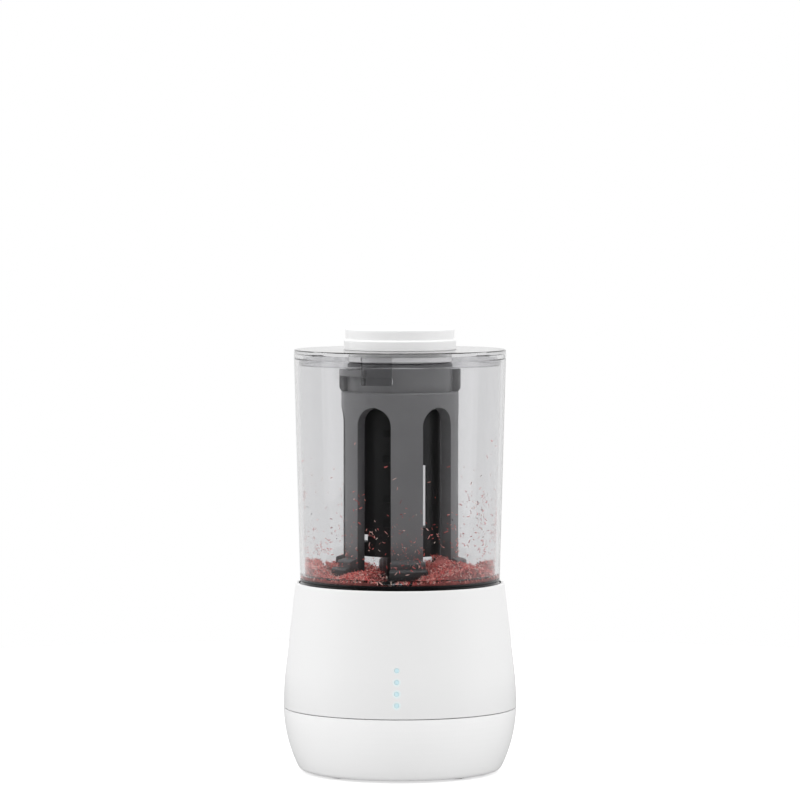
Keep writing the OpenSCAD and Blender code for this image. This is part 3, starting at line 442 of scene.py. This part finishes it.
def solderMask(name):
    # printed board: green lacquer over raised copper tracks, 0.6 mm wide
    mat, tree, shader, place = newMaterial(name, "#1c5a38", 0.3, IOR=1.55)
    cells = addNode(tree, "ShaderNodeTexVoronoi", {"feature": "DISTANCE_TO_EDGE",
                    "distance": "EUCLIDEAN", "Scale": 1 / (3.4 * mm), "Randomness": 0.35},
                    {"Vector": place})
    track = addNode(tree, "ShaderNodeMapRange", {"From Min": 0.05, "From Max": 0.09, "To Min": 1,
                    "To Max": 0}, {"Value": cells.outputs["Distance"]}).outputs["Result"]
    tint = addNode(tree, "ShaderNodeMix", {"data_type": "RGBA", 6: toLinear("#174a2d"),
                   7: toLinear("#2f7a4c")}, {0: track})
    relief = addNode(tree, "ShaderNodeBump", {"Distance": 0.05 * mm}, {"Height": track})
    tree.links.new(tint.outputs[2], shader.inputs["Base Color"])
    tree.links.new(relief.outputs["Normal"], shader.inputs["Normal"])
    return mat


def shavedWood(name):
    # pared pencil wood and paint: matt, with fibres along the strip
    mat, tree, shader, place = newMaterial(name, "#b34a46", 0.6, IOR=1.5)
    tint = addNode(tree, "ShaderNodeAttribute", {"attribute_name": "chipTint"}).outputs["Color"]
    fibre = addNode(tree, "ShaderNodeTexNoise", {"Scale": 1 / (0.3 * mm), "Detail": 3},
                    {"Vector": place}).outputs["Fac"]
    streak = addNode(tree, "ShaderNodeMix", {"data_type": "RGBA", 6: toLinear("#d8ccc9"),
                     7: toLinear("#ffffff")}, {0: fibre})
    shade = addNode(tree, "ShaderNodeMix", {"data_type": "RGBA", "blend_type": "MULTIPLY", 0: 0.6},
                    {6: tint, 7: streak.outputs[2]})
    relief = addNode(tree, "ShaderNodeBump", {"Strength": 0.6, "Distance": 0.05 * mm},
                     {"Height": fibre})
    tree.links.new(shade.outputs[2], shader.inputs["Base Color"])
    tree.links.new(shade.outputs[2], shader.inputs["Emission Color"])
    shader.inputs["Emission Strength"].default_value = 0.13     # painted light: the chips glow faintly in their own colour, to brighten them
    tree.links.new(relief.outputs["Normal"], shader.inputs["Normal"])
    return mat


slotMaterials = {
    "white_abs": "mouldedAbsWhite", "clear_plastic": "clearStyrene", "grey_abs": "mouldedAbsGrey",
    "black_abs": "mouldedAbsBlack", "black_gloss": "polishedAbsBlack", "foot_rubber": "footRubber",
    "screw_steel": "zincPlatedSteel", "bearing_steel": "groundBearingSteel",
    "cutter_steel": "milledToolSteel", "gear_plastic": "naturalAcetal", "brass": "turnedBrass",
    "plate_metal": "stampedAluminium", "can_steel": "nickelPlatedSteel", "ferrite": "sinteredFerrite",
    "copper": "enamelledCopper", "cell_wrap": "shrinkWrap", "tab_metal": "nickelPlatedSteel",
    "board_green": "solderMask", "chip_black": "epoxyMoulding", "light_lens": "lightPipe",
    "led_body": "ledPhosphor", "lead_red": "redSilicone", "lead_black": "blackSilicone",
    "lead_white": "whiteSilicone", "roller_rubber": "rollerRubber", "red_plastic": "redPolycarbonate",
}


def makeMaterials():
    made = {}
    for maker, looks in ((mouldedPlastic, plasticLooks), (workedMetal, metalLooks),
                         (softRubber, rubberLooks), (mixedFinish, mixedLooks)):
        for name, look in looks.items():
            made[name] = maker(name, look)
    for maker in (clearStyrene, lightPipe, enamelledCopper, solderMask, litAbsWhite, footShadedAbsGrey,
                  shavedWood):
        made[maker.__name__] = maker(maker.__name__)
    return made


def dressNodes():
    slotOf = {part["node"]: part["material_slot"] for part in frame["record"]["subparts"]}
    special = {"upper_shell": "litAbsWhite", "cutter_cage": "footShadedAbsGrey"}
    for name, obj in nodes.items():
        obj.data.materials.clear()
        obj.data.materials.append(materials[special.get(name, slotMaterials[slotOf[name]])])


def addPiece(name, bm, finish):
    mesh = bpy.data.meshes.new(name)
    bm.to_mesh(mesh)
    bm.free()
    piece = bpy.data.objects.new(name, mesh)
    bpy.context.collection.objects.link(piece)
    mesh.materials.append(finish)
    return piece


def layFloor():
    # a round table top covered with matt white paper
    mat, tree, shader, place = newMaterial("mattPaper", "#f7f7f7", 0.7)
    cloud = addNode(tree, "ShaderNodeTexNoise", {"Scale": 5, "Detail": 2}, {"Vector": place})
    tint = addNode(tree, "ShaderNodeMix", {"data_type": "RGBA", 6: toLinear("#f8f8f8"),
                   7: toLinear("#f6f6f6")}, {0: cloud.outputs["Fac"]})
    seen, mirrored = sortRays(tree)
    sent = addNode(tree, "ShaderNodeMix", {"data_type": "RGBA", 6: toLinear(studio["floorBounce"]),
                   7: toLinear(studio["floorGloss"])}, {0: mirrored})
    shown = addNode(tree, "ShaderNodeMix", {"data_type": "RGBA"},
                    {0: seen, 6: sent.outputs[2], 7: tint.outputs[2]})
    tree.links.new(shown.outputs[2], shader.inputs["Base Color"])
    tree.links.new(shown.outputs[2], shader.inputs["Emission Color"])
    shader.inputs["Emission Strength"].default_value = studio["tableGlow"]
    bm = bmesh.new()
    bmesh.ops.create_circle(bm, cap_ends=True, radius=studio["floorRadius"], segments=96)
    addPiece("floor", bm, mat)


placeCamera()
placeLamps()
layFloor()
print("stage set")
materials = makeMaterials()
dressNodes()
print("materials made:", len(materials))


shavings = {
    "seed": 7,
    "kinds": 12,            # different curls that are copied about
    "length": (1.0 * mm, 2.9 * mm),
    "width": (0.18 * mm, 0.42 * mm),
    "thickness": 0.08 * mm,
    "turn": (0.6, 5.0),     # radians that a strip curls round
    "narrowing": 0.6,       # toward its ends
    "steps": 5,
    "scale": (0.6, 1.15),
    "brightness": (0.66, 1.15),
    "binChips": 3900,
    "deckChips": 3300,
    "wallChips": 820,
    "cageChips": 300,
    "batch": 60,            # chips that are joined at a time
    "fleckSize": 0.85,      # of the flecks on the wall, next to a chip of the heaps
    "speckSize": 0.55,      # and of those on the cage
    # angle from the front in degrees, half width, height by the cage and by the bin's wall
    "heaps": [(47, 34, 12.0 * mm, 5.6 * mm), (-80, 36, 5.5 * mm, 8.8 * mm),
              (-27, 17, 6.8 * mm, 3.4 * mm), (100, 22, 5.0 * mm, 6.5 * mm),
              (150, 26, 5.5 * mm, 3.2 * mm), (-140, 24, 3.6 * mm, 4.2 * mm)],
    "heapColour": "#9c5450",
    # share, colour: painted wood, bare wood, lead
    "colours": [(0.32, "#ee7e78"), (0.24, "#f7a8a0"), (0.16, "#fccfc6"), (0.14, "#d45e59"),
                (0.06, "#86383a"), (0.05, "#fbe6db"), (0.03, "#3a3234")],
    "againstWall": 0.32,    # share of the bin's chips that press on its wall
    "againstBin": 0.22,     # and of the deck's chips that press on the bin's inner lip
}
binLow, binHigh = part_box("shavings_bin")
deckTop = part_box("deck_plate")[1].z
binFloor = binLow.z + 1.7 * mm
wallFoot = 38.6 * mm            # the bin's inner radius at its floor
wallTop = 41.0 * mm             # and under its lid

# the two rings of floor that heaps lie on, with their shares of the way from cage to wall
binRing = {"floor": binFloor, "inner": 32.4 * mm, "outer": wallFoot - 0.5 * mm,
           "shares": (0.55, 1.0)}
deckRing = {"floor": deckTop + 2.3 * mm, "inner": 20.0 * mm, "outer": 29.8 * mm,
            "shares": (0.0, 0.5)}
heap = {
    "across": 7,            # steps from the inner edge to the outer
    "around": 120,
    "spread": 1.35,         # how far a heap runs out past its half width
    "lumps": (0.92, 0.35),  # even height, and lumps on it
    "sink": 0.5 * mm,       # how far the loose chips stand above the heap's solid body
    "rough": 0.35 * mm,
    "thinnest": 0.7 * mm,   # less than this is loose chips only
    "loose": 0.16,          # chance that a chip lies where there is no heap
    "full": 4 * mm,         # height from which a spot is always taken
}


def makeCurl(rng):
    # a strip of wood cut thin, rolled round a small circle and drawn out a little
    length = rng.uniform(*shavings["length"])
    width = rng.uniform(*shavings["width"])
    turn = rng.uniform(*shavings["turn"])
    bend = length / turn
    bm = bmesh.new()
    bmesh.ops.create_grid(bm, x_segments=shavings["steps"], y_segments=1, size=0.5)
    rise = rng.uniform(-1, 1) * width
    for vert in bm.verts:
        along = vert.co.x + 0.5
        side = vert.co.y * width * (1 - shavings["narrowing"] * (2 * along - 1) ** 2)
        angle = (along - 0.5) * turn
        vert.co = Vector((bend * math.sin(angle), side + rise * along, bend * (1 - math.cos(angle))))
    bmesh.ops.recalc_face_normals(bm, faces=bm.faces)
    bmesh.ops.solidify(bm, geom=bm.faces[:], thickness=shavings["thickness"])
    middle = sum((v.co for v in bm.verts), Vector()) / len(bm.verts)
    bmesh.ops.translate(bm, verts=bm.verts, vec=-middle)
    mesh = bpy.data.meshes.new("curl")
    bm.to_mesh(mesh)
    bm.free()
    return mesh


def pickColour(rng):
    dice = rng.random() * sum(share for share, _ in shavings["colours"])
    dim = rng.uniform(*shavings["brightness"])
    for share, colour in shavings["colours"]:
        dice -= share
        if dice <= 0:
            break
    red, green, blue, _ = toLinear(colour)
    return red * dim, green * dim, blue * dim, 1


def scatterChips(name, body, curls, rng, places, size=1.0):
    # copies the curls to the places, each with its own turn, size and colour
    allChips = bmesh.new()
    for start in range(0, len(places), shavings["batch"]):
        bm = bmesh.new()
        tint = bm.verts.layers.float_color.new("chipTint")
        done = 0
        for spot, normal, lie in places[start:start + shavings["batch"]]:
            bm.from_mesh(rng.choice(curls))
            bm.verts.ensure_lookup_table()
            tip = Matrix.Rotation(rng.uniform(-lie, lie), 4, "X") @ Matrix.Rotation(
                rng.uniform(-lie, lie), 4, "Y")
            turn = Matrix.Rotation(rng.uniform(0, 2 * math.pi), 4, "Z")
            face = Vector(normal).to_track_quat("Z", "Y").to_matrix().to_4x4()
            matrix = (Matrix.Translation(spot) @ face @ turn @ tip
                      @ Matrix.Scale(rng.uniform(*shavings["scale"]) * size, 4))
            colour = pickColour(rng)
            for vert in bm.verts[done:]:
                vert.co = matrix @ vert.co
                vert[tint] = colour
            done = len(bm.verts)
        batch = bpy.data.meshes.new("batch")
        bm.to_mesh(batch)
        bm.free()
        allChips.from_mesh(batch)
        bpy.data.meshes.remove(batch)
    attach(addPiece(name, allChips, materials["shavedWood"]), body)


def heapHeight(angle, share):
    # how high the shavings lie: share runs from 0 at the cage to 1 at the bin's wall
    fromFront = math.degrees(angle) + 90 + camera["turn"]
    total = 0
    for middle, half, inner, outer in shavings["heaps"]:
        off = abs((fromFront - middle + 180) % 360 - 180) / half
        if off < heap["spread"]:
            swell = 0.5 + 0.5 * math.cos(math.pi * off / heap["spread"])
            total += (inner + (outer - inner) * share) * swell
    lump = noise.noise(Vector((math.cos(angle) * 4, math.sin(angle) * 4, share * 1.5 + 2)))
    even, lumpy = heap["lumps"]
    return total * (even + lumpy * lump)


def heapBody(name, body, ring, inner, outer):
    # a solid body of shavings under the loose ones, on one ring of floor
    across = heap["across"]
    floor = ring["floor"]
    shareIn, shareOut = ring["shares"]
    bm = bmesh.new()
    verts = [bm.verts.new((inner + (outer - inner) * i / across, 0, floor)) for i in range(across + 1)]
    for i in range(across):
        bm.edges.new((verts[i], verts[i + 1]))
    bmesh.ops.spin(bm, geom=bm.verts[:] + bm.edges[:], axis=(0, 0, 1), cent=(0, 0, 0),
                   angle=2 * math.pi, steps=heap["around"], use_merge=True)
    bmesh.ops.remove_doubles(bm, verts=bm.verts, dist=0.01 * mm)
    heights = {}
    for vert in bm.verts:
        radius = math.hypot(vert.co.x, vert.co.y)
        share = shareIn + (shareOut - shareIn) * (radius - inner) / (outer - inner)
        heights[vert] = heapHeight(math.atan2(vert.co.y, vert.co.x), share)
    thin = [f for f in bm.faces if max(heights[v] for v in f.verts) < heap["thinnest"]]
    for vert in bm.verts:
        rough = noise.noise(vert.co * 700) * heap["rough"]
        vert.co.z += max(0.15 * mm, heights[vert] - heap["sink"] + rough)
    bmesh.ops.delete(bm, geom=thin, context="FACES")
    bmesh.ops.recalc_face_normals(bm, faces=bm.faces)
    skin = bmesh.ops.extrude_face_region(bm, geom=bm.faces[:])
    for item in skin["geom"]:
        if isinstance(item, bmesh.types.BMVert):
            item.co.z = floor + 0.05 * mm
    bmesh.ops.recalc_face_normals(bm, faces=bm.faces)
    tint = bm.verts.layers.float_color.new("chipTint")
    red, green, blue, _ = toLinear(shavings["heapColour"])
    for vert in bm.verts:
        dim = 0.85 + 0.6 * noise.noise(vert.co * 400)
        vert[tint] = (red * dim, green * dim, blue * dim, 1)
    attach(addPiece(name, bm, materials["shavedWood"]), body)


def heapPlaces(rng, count, ring, pressed):
    # spots on the heaps, most where they are high, a few strewn between them and some on the wall
    floor, inner, outer = ring["floor"], ring["inner"], ring["outer"]
    shareIn, shareOut = ring["shares"]
    places = []
    while len(places) < count:
        angle = rng.uniform(0, 2 * math.pi)
        across = rng.random()
        height = heapHeight(angle, shareIn + (shareOut - shareIn) * across)
        if rng.random() > heap["loose"] + height / heap["full"]:
            continue
        if rng.random() < pressed:
            height = heapHeight(angle, shareOut)
            rise = floor + 0.9 * mm + height * rng.random()
            places.append(((outer * math.cos(angle), outer * math.sin(angle), rise),
                           (math.cos(angle), math.sin(angle), 0), 0.4))
            continue
        radius = inner + (outer - inner) * across
        lift = 0.3 * mm + max(0, height - heap["sink"]) + 0.9 * mm * rng.random() ** 2
        places.append(((radius * math.cos(angle), radius * math.sin(angle), floor + lift),
                       (0, 0, 1), 1.25))
    return places


flecks = {
    "clusters": 26,
    "clusterHeights": (6 * mm, 38 * mm),    # above the bin's floor
    "clustered": 0.45,      # share that lies in clusters
    "clusterWidth": 0.06,   # radians
    "clusterHeight": 2.6 * mm,
    "fade": 15 * mm,        # how fast the single ones grow rare upward
    "clearTop": 30 * mm,    # none in the top of the bin
    "standOff": 0.45 * mm,
}


def wallPlaces(rng):
    # flecks that static holds to the bin's wall, in loose clusters and singly
    clusters = [(rng.uniform(0, 2 * math.pi), binFloor + rng.uniform(*flecks["clusterHeights"]))
                for _ in range(flecks["clusters"])]
    places = []
    while len(places) < shavings["wallChips"]:
        if rng.random() < flecks["clustered"]:
            angle, height = rng.choice(clusters)
            angle += rng.gauss(0, flecks["clusterWidth"])
            height += rng.gauss(0, flecks["clusterHeight"])
        else:
            angle = rng.uniform(0, 2 * math.pi)
            height = binFloor + 3 * mm + rng.expovariate(1 / flecks["fade"])
        if not binFloor + 1 * mm < height < binHigh.z - flecks["clearTop"]:
            continue
        share = (height - binLow.z) / (binHigh.z - binLow.z)
        radius = wallFoot + (wallTop - wallFoot) * share - flecks["standOff"]
        places.append(((radius * math.cos(angle), radius * math.sin(angle), height),
                       (-math.cos(angle), -math.sin(angle), 0), 0.25))
    return places


specks = {
    "lowest": 9 * mm,       # above the deck
    "highest": 55 * mm,
    "fade": 9 * mm,
    "from": 36 * mm,        # radius that the look at the cage starts from
    "reach": 14 * mm,
    "standOff": 0.25 * mm,
}


def cagePlaces(rng):
    # flecks on the outside of the cage, found by looking in at its axis
    mesh = bmesh.new()
    mesh.from_mesh(nodes["cutter_cage"].data)
    surface = BVHTree.FromBMesh(mesh)
    mesh.free()
    places = []
    while len(places) < shavings["cageChips"]:
        angle = rng.uniform(0, 2 * math.pi)
        height = deckTop + specks["lowest"] + rng.expovariate(1 / specks["fade"])
        inward = Vector((-math.cos(angle), -math.sin(angle), 0))
        start = Vector((0, 0, height)) - inward * specks["from"]
        spot, normal, _, _ = surface.ray_cast(start, inward, specks["reach"])
        if spot and height < deckTop + specks["highest"]:
            places.append((spot + normal * specks["standOff"], normal, 0.2))
    return places


def makeShavings():
    rng = random.Random(shavings["seed"])
    curls = [makeCurl(rng) for _ in range(shavings["kinds"])]
    heapBody("bin_heap", "bin", binRing, 32.3 * mm, wallFoot - 0.9 * mm)
    heapBody("deck_heap", "base", deckRing, 24.0 * mm, 29.6 * mm)
    scatterChips("bin_shavings", "bin", curls, rng,
                 heapPlaces(rng, shavings["binChips"], binRing, shavings["againstWall"]))
    scatterChips("deck_shavings", "base", curls, rng,
                 heapPlaces(rng, shavings["deckChips"], deckRing, shavings["againstBin"]))
    scatterChips("wall_shavings", "bin", curls, rng, wallPlaces(rng), shavings["fleckSize"])
    scatterChips("cage_shavings", "base", curls, rng, cagePlaces(rng), shavings["speckSize"])
    for curl in curls:
        bpy.data.meshes.remove(curl)


makeShavings()
print("shavings scattered")

bpy.context.scene.view_settings.view_transform = "Standard"
